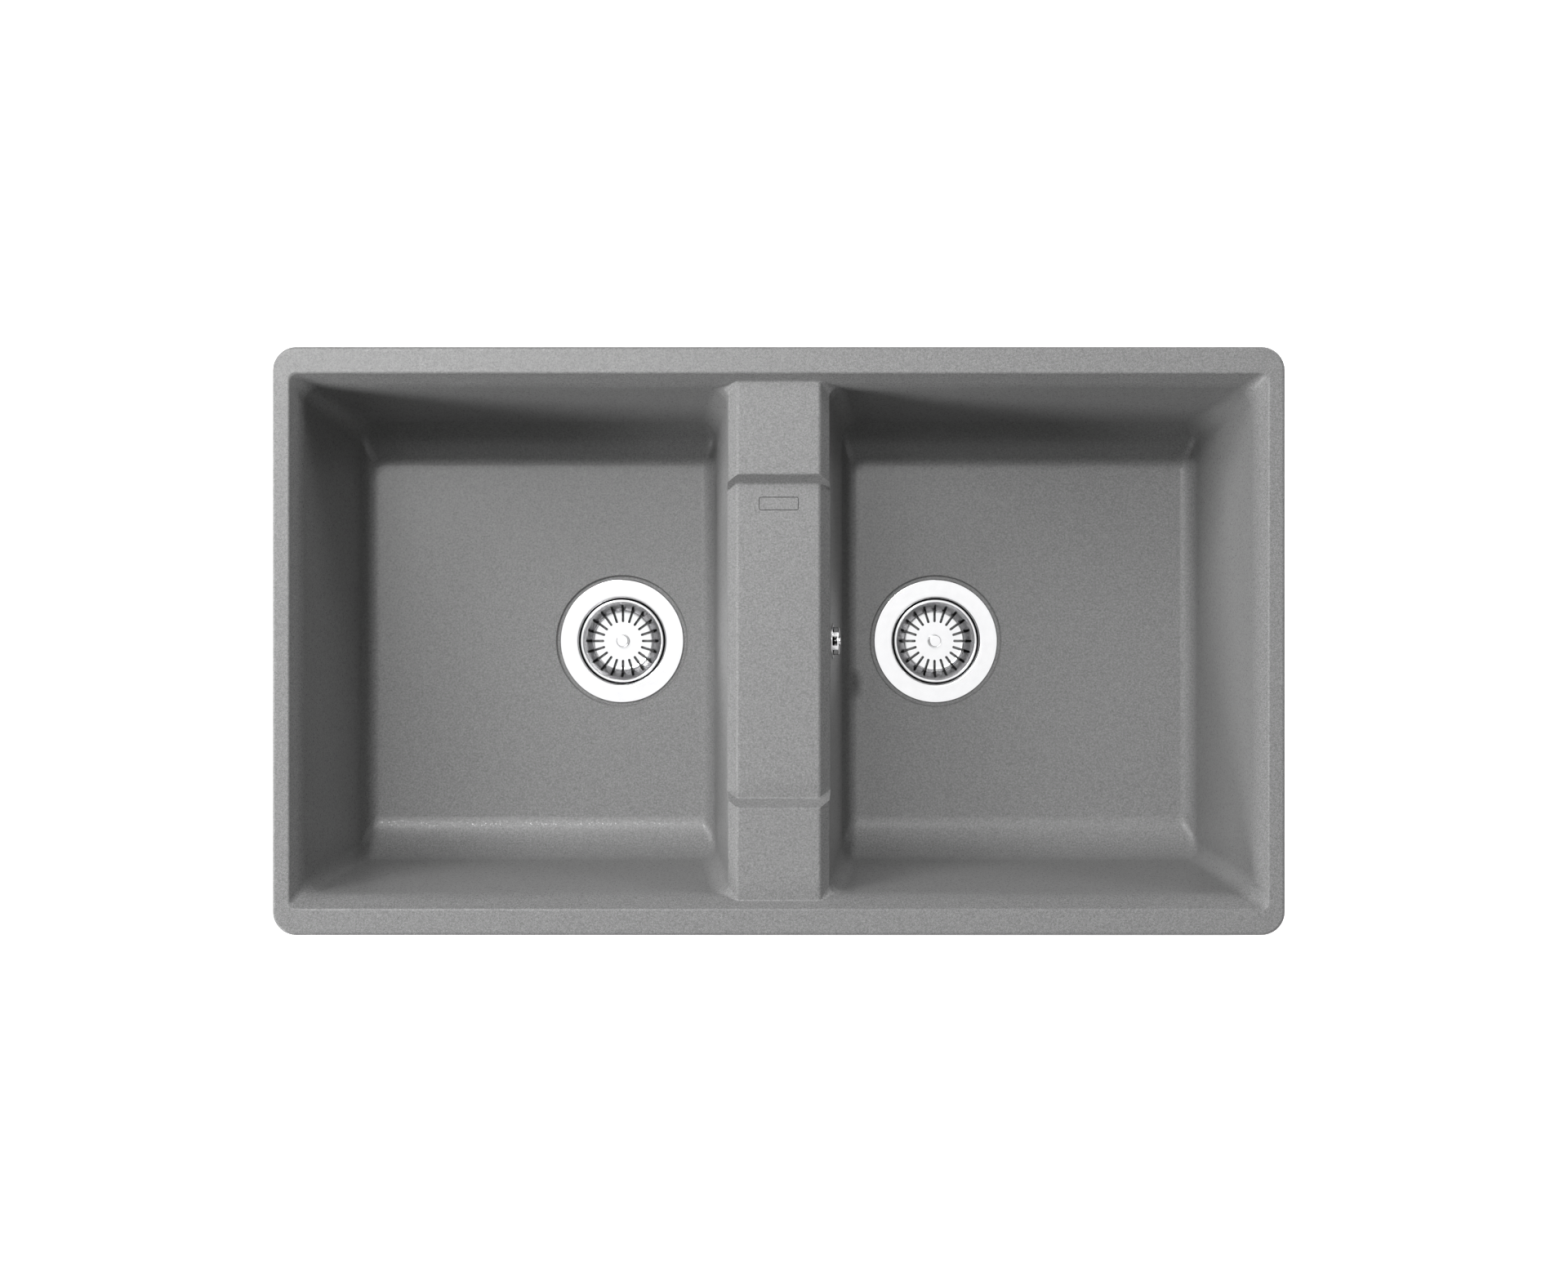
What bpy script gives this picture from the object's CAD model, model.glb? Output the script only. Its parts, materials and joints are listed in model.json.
# %% [markdown]
# The CAD program made every piece of this sink at its real size. Blender loads those pieces first
# and never moves them. What is left to do here is the light, the camera, the finish of each
# surface, and small forms such as moulded ribs that are easier to make as meshes.

# %% Load the sink's pieces
import json
import math

import bmesh
import bpy
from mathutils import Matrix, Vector


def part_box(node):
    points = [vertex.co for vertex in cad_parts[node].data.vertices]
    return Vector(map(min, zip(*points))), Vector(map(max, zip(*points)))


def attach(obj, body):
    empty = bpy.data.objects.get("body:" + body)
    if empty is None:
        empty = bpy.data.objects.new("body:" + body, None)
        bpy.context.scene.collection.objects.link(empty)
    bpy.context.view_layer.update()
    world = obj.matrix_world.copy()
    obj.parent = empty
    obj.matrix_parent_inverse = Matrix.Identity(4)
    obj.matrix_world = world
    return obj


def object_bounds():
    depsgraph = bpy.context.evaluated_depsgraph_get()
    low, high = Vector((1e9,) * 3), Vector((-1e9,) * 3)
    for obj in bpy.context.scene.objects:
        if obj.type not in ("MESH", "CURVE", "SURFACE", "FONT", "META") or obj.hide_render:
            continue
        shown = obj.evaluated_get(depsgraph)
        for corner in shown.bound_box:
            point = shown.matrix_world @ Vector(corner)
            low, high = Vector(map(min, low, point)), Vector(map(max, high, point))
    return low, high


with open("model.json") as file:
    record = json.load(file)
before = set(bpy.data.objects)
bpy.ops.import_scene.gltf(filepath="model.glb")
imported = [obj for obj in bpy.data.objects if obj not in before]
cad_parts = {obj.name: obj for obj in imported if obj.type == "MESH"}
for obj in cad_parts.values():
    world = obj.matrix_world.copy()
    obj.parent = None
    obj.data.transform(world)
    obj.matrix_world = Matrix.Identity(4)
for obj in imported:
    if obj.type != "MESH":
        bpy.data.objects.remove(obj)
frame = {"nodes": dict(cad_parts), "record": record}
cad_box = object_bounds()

MM = 0.001

# %% [markdown]
# The picture was taken from straight above, so a camera on the sink's middle axis gives the same
# view. How fast the bowls' floors shrink against the rim tells the camera's height: a 50 mm lens
# about 1.85 m above the rim. A tiny sideways shift of the lens puts the sink where it is in the
# picture, a few pixels left of the middle.

# %% Camera
RIM_TOP = 10 * MM
CAMERA_HEIGHT = 1848 * MM
LENS_LENGTH = 50
SENSOR_WIDTH = 36
IMAGE_WIDTH = 1920
SINK_CENTRE_PIXEL = 953.6

camera_data = bpy.data.cameras.new("camera")
camera_data.lens = LENS_LENGTH
camera_data.sensor_width = SENSOR_WIDTH
camera_data.shift_x = (IMAGE_WIDTH / 2 - SINK_CENTRE_PIXEL) / IMAGE_WIDTH
camera = bpy.data.objects.new("camera", camera_data)
camera.location = (0, 0, RIM_TOP + CAMERA_HEIGHT)
bpy.context.scene.collection.objects.link(camera)
bpy.context.scene.camera = camera
print("camera at", tuple(round(v, 3) for v in camera.location))

# %% [markdown]
# A studio lights a sink with soft boxes and one far spot. Area lamps make the soft light. Most hang
# at the back and the left, because in the picture the walls that face the back and the left are the
# brightest, and the low ones graze the rim and hardly reach the bowls' floors, so the floors look
# darker. The far spot stands almost overhead, a little to the back and left: it lights the floors
# evenly, up to the crisp edge of shadow along the back walls. A Sun lamp does that, because its
# rays come in parallel, and its angle sets how soft the edge is.

# %% Lamps
bpy.context.scene.view_settings.view_transform = "Standard"


def soft_box(name, place, size, power):
    """A square area lamp aimed at the sink."""
    lamp = bpy.data.lights.new(name, "AREA")
    lamp.size = size
    lamp.energy = power
    holder = bpy.data.objects.new(name, lamp)
    holder.location = place
    holder.rotation_euler = (-Vector(place)).to_track_quat("-Z", "Y").to_euler()
    bpy.context.scene.collection.objects.link(holder)
    return holder


def far_spot(name, direction, softness, strength):
    """A far lamp in a direction, with its strength in watts per square metre."""
    lamp = bpy.data.lights.new(name, "SUN")
    lamp.energy = strength
    lamp.angle = math.radians(softness)
    holder = bpy.data.objects.new(name, lamp)
    holder.rotation_euler = Vector(direction).to_track_quat("Z", "Y").to_euler()
    bpy.context.scene.collection.objects.link(holder)
    return holder


lamps = [
    far_spot("overhead_spot", direction=(-0.15, 0.28, 1.0), softness=3.5, strength=1.08),
    soft_box("high_corner_box", place=(-1.06, 1.06, 2.60), size=1.0, power=17),
    soft_box("middle_corner_box", place=(-1.70, 1.70, 1.70), size=1.0, power=34),
    soft_box("low_left_box", place=(-2.80, 0, 0.90), size=0.8, power=28),
    soft_box("low_front_box", place=(-4.00, -4.00, 1.80), size=1.6, power=142),
    soft_box("low_back_box", place=(2.00, 2.00, 0.90), size=0.8, power=14),
]
print(len(lamps), "lamps")

# %% [markdown]
# White cloth around a studio table fills the shadows. The world stands for it: a white surface
# that the camera and the shiny metal see at full strength, while it lights the stone more weakly.
# The Light Path node tells these rays apart.

# %% World


def looking_rays(tree):
    """A socket that is 1 for rays that look at a surface and 0 for rays that carry light."""
    paths = tree.nodes.new("ShaderNodeLightPath")
    total = paths.outputs["Is Camera Ray"]
    for kind in ("Is Glossy Ray", "Is Transmission Ray"):
        add = tree.nodes.new("ShaderNodeMath")
        add.operation = "ADD"
        add.use_clamp = True
        tree.links.new(total, add.inputs[0])
        tree.links.new(paths.outputs[kind], add.inputs[1])
        total = add.outputs[0]
    return total


FILL_STRENGTH = 0.06
CLOTH_WHITE = (1, 1, 1, 1)

world = bpy.data.worlds.new("studio")
world.use_nodes = True
bpy.context.scene.world = world
tree = world.node_tree
background = tree.nodes["Background"]
background.inputs["Color"].default_value = CLOTH_WHITE
strength = tree.nodes.new("ShaderNodeMapRange")
strength.inputs["To Min"].default_value = FILL_STRENGTH
tree.links.new(looking_rays(tree), strength.inputs["Value"])
tree.links.new(strength.outputs[0], background.inputs["Strength"])
print("world fills at", FILL_STRENGTH)

# %% [markdown]
# The sink hangs in a worktop, so nothing stands on the floor. A wide plane under the lowest place
# that the trap's cup can reach catches the shadow. It glows a little for the camera and for shiny
# pieces alone, which keeps it white and still lets the shadow show.

# %% Floor
FLOOR_GAP = 90 * MM
FLOOR_HALF = 6.0
FLOOR_GLOW = 0.75
PAPER_COLOUR = (0.82, 0.82, 0.82, 1)
PAPER_ROUGHNESS = 0.9

floor_mesh = bmesh.new()
bmesh.ops.create_grid(floor_mesh, x_segments=2, y_segments=2, size=FLOOR_HALF)
floor_data = bpy.data.meshes.new("floor")
floor_mesh.to_mesh(floor_data)
floor_mesh.free()
floor = bpy.data.objects.new("floor", floor_data)
floor.location = (0, 0, cad_box[0][2] - FLOOR_GAP)
bpy.context.scene.collection.objects.link(floor)

paper = bpy.data.materials.new("floor_paper")
paper.use_nodes = True
tree = paper.node_tree
matt = tree.nodes["Principled BSDF"]
matt.inputs["Base Color"].default_value = PAPER_COLOUR
matt.inputs["Roughness"].default_value = PAPER_ROUGHNESS
glow = tree.nodes.new("ShaderNodeEmission")
glow.inputs["Strength"].default_value = FLOOR_GLOW
dark = tree.nodes.new("ShaderNodeEmission")
dark.inputs["Strength"].default_value = 0
pick = tree.nodes.new("ShaderNodeMixShader")
both = tree.nodes.new("ShaderNodeAddShader")
tree.links.new(looking_rays(tree), pick.inputs[0])
tree.links.new(dark.outputs[0], pick.inputs[1])
tree.links.new(glow.outputs[0], pick.inputs[2])
tree.links.new(matt.outputs[0], both.inputs[0])
tree.links.new(pick.outputs[0], both.inputs[1])
tree.links.new(both.outputs[0], tree.nodes["Material Output"].inputs["Surface"])
floor_data.materials.append(paper)
print("floor at", round(floor.location.z, 3))

# %% [markdown]
# Every finish below starts from one Principled shader and a few noise textures. Joining nodes one
# by one would fill the file, so a small class does it: its methods make noise of a size in metres,
# stretch a value, blend two colours, and lead the result to the colour, the roughness or the bump.

# %% Helpers for finishes


class Finish:
    """A material with its Principled shader, and short ways to add and join nodes."""

    def __init__(self, name, **settings):
        self.material = bpy.data.materials.new(name)
        self.material.use_nodes = True
        self.tree = self.material.node_tree
        self.shader = self.tree.nodes["Principled BSDF"]
        for socket, value in settings.items():
            self.shader.inputs[socket.replace("_", " ")].default_value = value
        self.place = self.add("ShaderNodeTexCoord").outputs["Object"]

    def add(self, kind, properties=None, **inputs):
        node = self.tree.nodes.new(kind)
        for name, value in (properties or {}).items():
            setattr(node, name, value)
        for socket, value in inputs.items():
            socket = socket.replace("_", " ")
            if isinstance(value, bpy.types.NodeSocket):
                self.tree.links.new(value, node.inputs[socket])
            else:
                node.inputs[socket].default_value = value
        return node

    def join(self, start, end):
        self.tree.links.new(start, end)

    def noise(self, size, detail=2.0, vector=None):
        """Noise whose grains are about this size in metres."""
        vector = vector or self.place
        node = self.add("ShaderNodeTexNoise", Vector=vector, Scale=1 / size, Detail=detail)
        return node.outputs["Fac"]

    def span(self, value, low, high, start=0.3, end=0.7):
        """Stretches a value between start and end onto low to high."""
        names = {"From Min": start, "From Max": end, "To Min": low, "To Max": high}
        node = self.add("ShaderNodeMapRange", Value=value)
        for name, number in names.items():
            node.inputs[name].default_value = number
        return node.outputs[0]

    def blend(self, factor, first, second):
        """Mixes two colours by a factor."""
        node = self.add("ShaderNodeMix", {"data_type": "RGBA"})
        self.join(factor, node.inputs["Factor"])
        for socket, value in ((node.inputs[6], first), (node.inputs[7], second)):
            if isinstance(value, bpy.types.NodeSocket):
                self.join(value, socket)
            else:
                socket.default_value = (*value, 1)
        return node.outputs[2]

    def colour(self, source):
        self.join(source, self.shader.inputs["Base Color"])

    def roughness(self, source):
        self.join(source, self.shader.inputs["Roughness"])

    def relief(self, height, depth):
        """Bump of this depth in metres."""
        node = self.add("ShaderNodeBump", Height=height, Distance=depth)
        self.join(node.outputs[0], self.shader.inputs["Normal"])


print("finishes start from the Principled shader")

# %% [markdown]
# The sink is cast from crushed granite held in resin. Close up it is a mix of pale and dark grains
# under half a millimetre wide, in loose clusters a millimetre or two across, with a few bright
# flakes that sparkle where a lamp is mirrored. Two noise textures give the grains and the clusters,
# and a Voronoi texture picks single flakes to polish. Fine dust settles in the engraved outline on
# the divider and in the joint round each drain. An Ambient Occlusion node measures how closed in a
# place is, so it finds such lines wherever they are.

# %% Granite
GRAIN = 0.45 * MM
CLUSTER = 1.5 * MM
FLAKE = 0.9 * MM
GRAIN_RELIEF = 0.02 * MM
DUST_REACH = 1.6 * MM
DARK_GRAIN = (0.172, 0.172, 0.173)
PALE_GRAIN = (0.352, 0.352, 0.352)
DARK_CLUSTER = (0.74, 0.74, 0.74)
PALE_CLUSTER = (1.16, 1.16, 1.16)
DUST_COLOUR = (0.02, 0.02, 0.02)

granite = Finish("granite_composite", IOR=1.5, Specular_IOR_Level=0.45)
grains = granite.noise(GRAIN, 3)
clusters = granite.noise(CLUSTER, 2)
tone = granite.blend(granite.span(grains, 0, 1, 0.35, 0.65), DARK_GRAIN, PALE_GRAIN)
cast = granite.blend(granite.span(clusters, 0, 1), DARK_CLUSTER, PALE_CLUSTER)
shade = granite.add("ShaderNodeMix", {"data_type": "RGBA", "blend_type": "MULTIPLY"})
shade.inputs["Factor"].default_value = 1
granite.join(tone, shade.inputs[6])
granite.join(cast, shade.inputs[7])
closed = granite.add("ShaderNodeAmbientOcclusion", {"samples": 8}, Distance=DUST_REACH)
dust = granite.span(closed.outputs["AO"], low=1, high=0, start=0.30, end=0.78)
granite.colour(granite.blend(dust, shade.outputs[2], DUST_COLOUR))
cells = granite.add("ShaderNodeTexVoronoi", Vector=granite.place, Scale=1 / FLAKE)
flakes = granite.add("ShaderNodeSeparateColor", Color=cells.outputs["Color"])
granite.roughness(granite.span(flakes.outputs[0], low=0.42, high=0.26, start=0.90, end=0.94))
granite.relief(grains, GRAIN_RELIEF)
print("granite grains of", GRAIN / MM, "mm")

# %% [markdown]
# The wastes, baskets and overflow cover are pressed from stainless steel and polished on a lathe,
# which leaves very fine rings round each drain. Both drains are the same distance from the middle,
# so the ring pattern is worked out once, from the distance to the nearer drain's axis. Polish never
# reaches the slots and the narrow gaps between the pieces, and they hold a dark film, so the
# Ambient Occlusion node darkens the steel there.

# %% Polished steel
DRAIN_X = 147.5 * MM
POLISH_RING = 0.18 * MM
POLISH_DEPTH = 0.0012 * MM
SMEAR = 9 * MM
PALER_SHARE = 1.04
FILM_REACH = 25 * MM
FILM_COLOUR = (0.012, 0.012, 0.012)


def steel_finish(name, roughness, tint):
    steel = Finish(name, Metallic=1.0)
    parts = steel.add("ShaderNodeSeparateXYZ", Vector=steel.place)
    across = steel.add("ShaderNodeMath", {"operation": "ABSOLUTE"})
    steel.join(parts.outputs["X"], across.inputs[0])
    from_drain = steel.add("ShaderNodeMath", {"operation": "SUBTRACT"})
    steel.join(across.outputs[0], from_drain.inputs[0])
    from_drain.inputs[1].default_value = DRAIN_X
    flat = steel.add("ShaderNodeCombineXYZ", X=from_drain.outputs[0], Y=parts.outputs["Y"])
    radius = steel.add("ShaderNodeVectorMath", {"operation": "LENGTH"})
    steel.join(flat.outputs[0], radius.inputs[0])
    rings = steel.add("ShaderNodeCombineXYZ", X=radius.outputs["Value"], Z=parts.outputs["Z"])
    ring_noise = steel.noise(POLISH_RING, 3, rings.outputs[0])
    smear = steel.noise(SMEAR, 3)
    metal = steel.blend(steel.span(smear, 0, 1), tint, [min(1, c * PALER_SHARE) for c in tint])
    closed = steel.add("ShaderNodeAmbientOcclusion", {"samples": 8}, Distance=FILM_REACH)
    film = steel.span(closed.outputs["AO"], low=1, high=0, start=0.32, end=0.60)
    steel.colour(steel.blend(film, metal, FILM_COLOUR))
    steel.roughness(steel.span(ring_noise, low=roughness * 0.8, high=roughness * 1.3))
    steel.relief(ring_noise, POLISH_DEPTH)
    return steel


polished_steel = steel_finish("polished_steel", 0.16, tint=(0.86, 0.86, 0.87))
print("steel rings of", round(POLISH_RING / MM, 2), "mm")

# %% [markdown]
# The clamps, their screws and the hose clips are plain steel with a thin zinc coat. Zinc has a
# soft, slightly cloudy shine, which two layers of noise in colour and roughness give.

# %% Zinc and brass
METAL_RELIEF = 0.004 * MM


def cloudy_metal(name, dark, light, roughness, cloud, grain):
    metal = Finish(name, Metallic=1.0)
    metal.colour(metal.blend(metal.span(metal.noise(cloud, 4), 0, 1), dark, light))
    metal.roughness(metal.span(metal.noise(grain, 2), low=roughness * 0.75, high=roughness * 1.3))
    metal.relief(metal.noise(grain, 2), METAL_RELIEF)
    return metal


zinc = cloudy_metal(
    "zinc_plate", dark=(0.52, 0.53, 0.55), light=(0.68, 0.69, 0.71),
    roughness=0.34, cloud=5 * MM, grain=0.5 * MM,
)
brass = cloudy_metal(
    "turned_brass", dark=(0.66, 0.46, 0.19), light=(0.80, 0.60, 0.28),
    roughness=0.28, cloud=3 * MM, grain=0.3 * MM,
)
print("metals ready")

# %% [markdown]
# The pipework is moulded from white plastic, the nuts from a slightly rougher grade, and the hose
# is blown from soft grey plastic. Moulded plastic is never quite even: a fine ripple in its surface
# breaks up the highlights, and the colour drifts a little.

# %% Plastics
COLOUR_DRIFT = 14 * MM
RIPPLE_DEPTH = 0.02 * MM


def moulded_plastic(name, dark, light, roughness, grain):
    plastic = Finish(name, IOR=1.48)
    plastic.colour(plastic.blend(plastic.span(plastic.noise(COLOUR_DRIFT, 3), 0, 1), dark, light))
    ripple = plastic.noise(grain, 3)
    plastic.roughness(plastic.span(ripple, low=roughness * 0.85, high=roughness * 1.2))
    plastic.relief(ripple, RIPPLE_DEPTH)
    return plastic


white_plastic = moulded_plastic(
    "white_plastic", dark=(0.76, 0.76, 0.74), light=(0.83, 0.83, 0.81),
    roughness=0.36, grain=1.1 * MM,
)
nut_plastic = moulded_plastic(
    "nut_plastic", dark=(0.69, 0.69, 0.68), light=(0.75, 0.75, 0.74),
    roughness=0.46, grain=0.7 * MM,
)
hose_plastic = moulded_plastic(
    "hose_plastic", dark=(0.56, 0.57, 0.58), light=(0.63, 0.64, 0.65),
    roughness=0.40, grain=1.5 * MM,
)
print("plastics ready")

# %% [markdown]
# The seals and the strainers' stoppers are black rubber. Rubber is dull, with a faint uneven bloom
# of pale dust, so its roughness is high and its colour drifts between two near blacks.

# %% Rubber
BLOOM = 6 * MM
PORE = 0.8 * MM
SKIN_GRAIN = 0.35 * MM
SKIN_RELIEF = 0.02 * MM


def rubber_finish(name, dark, light):
    rubber = Finish(name, IOR=1.5)
    rubber.colour(rubber.blend(rubber.span(rubber.noise(BLOOM, 5), 0, 1), dark, light))
    rubber.roughness(rubber.span(rubber.noise(PORE, 3), low=0.6, high=0.85))
    rubber.relief(rubber.noise(SKIN_GRAIN, 2), SKIN_RELIEF)
    return rubber


seal_rubber = rubber_finish("seal_rubber", dark=(0.018, 0.018, 0.018), light=(0.035, 0.035, 0.036))
stopper_rubber = rubber_finish(
    "stopper_rubber", dark=(0.03, 0.03, 0.03), light=(0.055, 0.055, 0.056)
)
print("rubber ready")

# %% [markdown]
# The record says which finish each piece has, by slot. Giving each piece its material by hand would
# be easy to get wrong for 49 pieces, so one loop reads the slots and does it.

# %% Dress the CAD pieces
FINISHES = {
    "granite": granite,
    "polished_steel": polished_steel,
    "zinc_steel": zinc,
    "brass": brass,
    "white_plastic": white_plastic,
    "nut_plastic": nut_plastic,
    "hose_plastic": hose_plastic,
    "seal_rubber": seal_rubber,
    "stopper_rubber": stopper_rubber,
}

for row in frame["record"]["subparts"]:
    piece = frame["nodes"][row["node"]]
    piece.data.materials.clear()
    piece.data.materials.append(FINISHES[row["material_slot"]].material)

# %% [markdown]
# The waste bodies and the trap's cup carry low upright ribs, which stiffen the thin moulding and
# give wet fingers a hold. Each rib is a bar of half-round section whose ends slope into the wall,
# so that the mould lets go of it. A bar could be drawn once and copied by an array, but a loop that
# writes the same few rows of points at each angle makes one clean mesh that needs no modifier.

# %% Moulded ribs
RIB_WIDTH = 2.6 * MM
RIB_HEIGHT = 1.4 * MM
RIB_ROOT = 0.8 * MM
RIB_SLOPE = 4 * MM
RIB_STEPS = 8


def rib_points(radius, share):
    """A rib's section: how far out each point is, and how far across from -1 to 1."""
    buried = radius - RIB_ROOT / 2
    height = (RIB_HEIGHT + RIB_ROOT / 2) * share
    turns = [math.pi * step / RIB_STEPS for step in range(RIB_STEPS + 1)]
    points = [(buried + height * math.sin(turn), math.cos(turn)) for turn in turns]
    return points + [(radius - RIB_ROOT, -1), (radius - RIB_ROOT, 1)]


def rib_set(name, centre, radius, low, high, angles):
    """Upright half-round ribs on a round wall, between two heights."""
    mesh = bmesh.new()
    levels = ((low, 0), (low + RIB_SLOPE, 1), (high - RIB_SLOPE, 1), (high, 0))
    for angle in angles:
        out = Vector((math.cos(angle), math.sin(angle), 0))
        side = Vector((-math.sin(angle), math.cos(angle), 0)) * RIB_WIDTH / 2
        rows = []
        for z, share in levels:
            foot = Vector((centre[0], centre[1], z))
            points = rib_points(radius, share)
            spots = [foot + out * reach + side * across for reach, across in points]
            rows.append([mesh.verts.new(spot) for spot in spots])
        for lower, upper in zip(rows, rows[1:]):
            for i in range(len(lower)):
                mesh.faces.new((lower[i - 1], lower[i], upper[i], upper[i - 1]))
        mesh.faces.new(rows[0])
        mesh.faces.new(rows[-1])
    bmesh.ops.recalc_face_normals(mesh, faces=mesh.faces)
    for face in mesh.faces:
        face.smooth = len(face.verts) == 4
    data = bpy.data.meshes.new(name)
    mesh.to_mesh(data)
    mesh.free()
    data.materials.append(white_plastic.material)
    ribs = bpy.data.objects.new(name, data)
    bpy.context.scene.collection.objects.link(ribs)
    return ribs


def around(start, end, count):
    """Angles spaced evenly from start to end, in degrees."""
    return [math.radians(start + (end - start) * i / (count - 1)) for i in range(count)]


print("a rib stands", round(RIB_HEIGHT / MM, 1), "mm proud")

# %% [markdown]
# The trap's cup is unscrewed by hand, so its ribs go all the way round, from above the rounded foot
# to below the grip ring. They ride on the cup, and come down with it. Their heights are measured
# from the cup's own box, so they stay in place if the cup is made longer.

# %% Ribs on the trap's cup
CUP_RADIUS = 37.2 * MM
CUP_FOOT = 19 * MM
CUP_RING = 18 * MM
CUP_RIBS = 16

cup_low, cup_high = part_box("trap_cup")
cup_ribs = rib_set(
    "cup_ribs", (cup_low + cup_high) / 2, CUP_RADIUS, cup_low.z + CUP_FOOT, cup_high.z - CUP_RING,
    around(0, 360 - 360 / CUP_RIBS, CUP_RIBS),
)
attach(cup_ribs, "trap_cup")
print(CUP_RIBS, "ribs on the cup")

# %% [markdown]
# On the waste bodies the pipe and the overflow's port take up the half that faces the middle of the
# sink, so the ribs stand on the outer half only. Left and right are mirror images: one loop makes
# both, with the angle that points away from the middle.

# %% Ribs on the waste bodies
WASTE_RADIUS = 46.5 * MM
WASTE_FOOT = 3 * MM
WASTE_FLANGE = 5 * MM
WASTE_RIBS = 9
WASTE_SWEEP = 80

for hand, side, outward in (("left", -1, 180), ("right", 1, 0)):
    low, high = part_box("waste_body_" + hand)
    middle = (side * DRAIN_X, (low.y + high.y) / 2)
    waste_ribs = rib_set(
        "waste_ribs_" + hand, middle, WASTE_RADIUS, low.z + WASTE_FOOT, high.z - WASTE_FLANGE,
        around(outward - WASTE_SWEEP, outward + WASTE_SWEEP, WASTE_RIBS),
    )
    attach(waste_ribs, "sink")
    print(hand, "waste ribs from", round(low.z / MM, 1), "to", round(high.z / MM, 1), "mm")
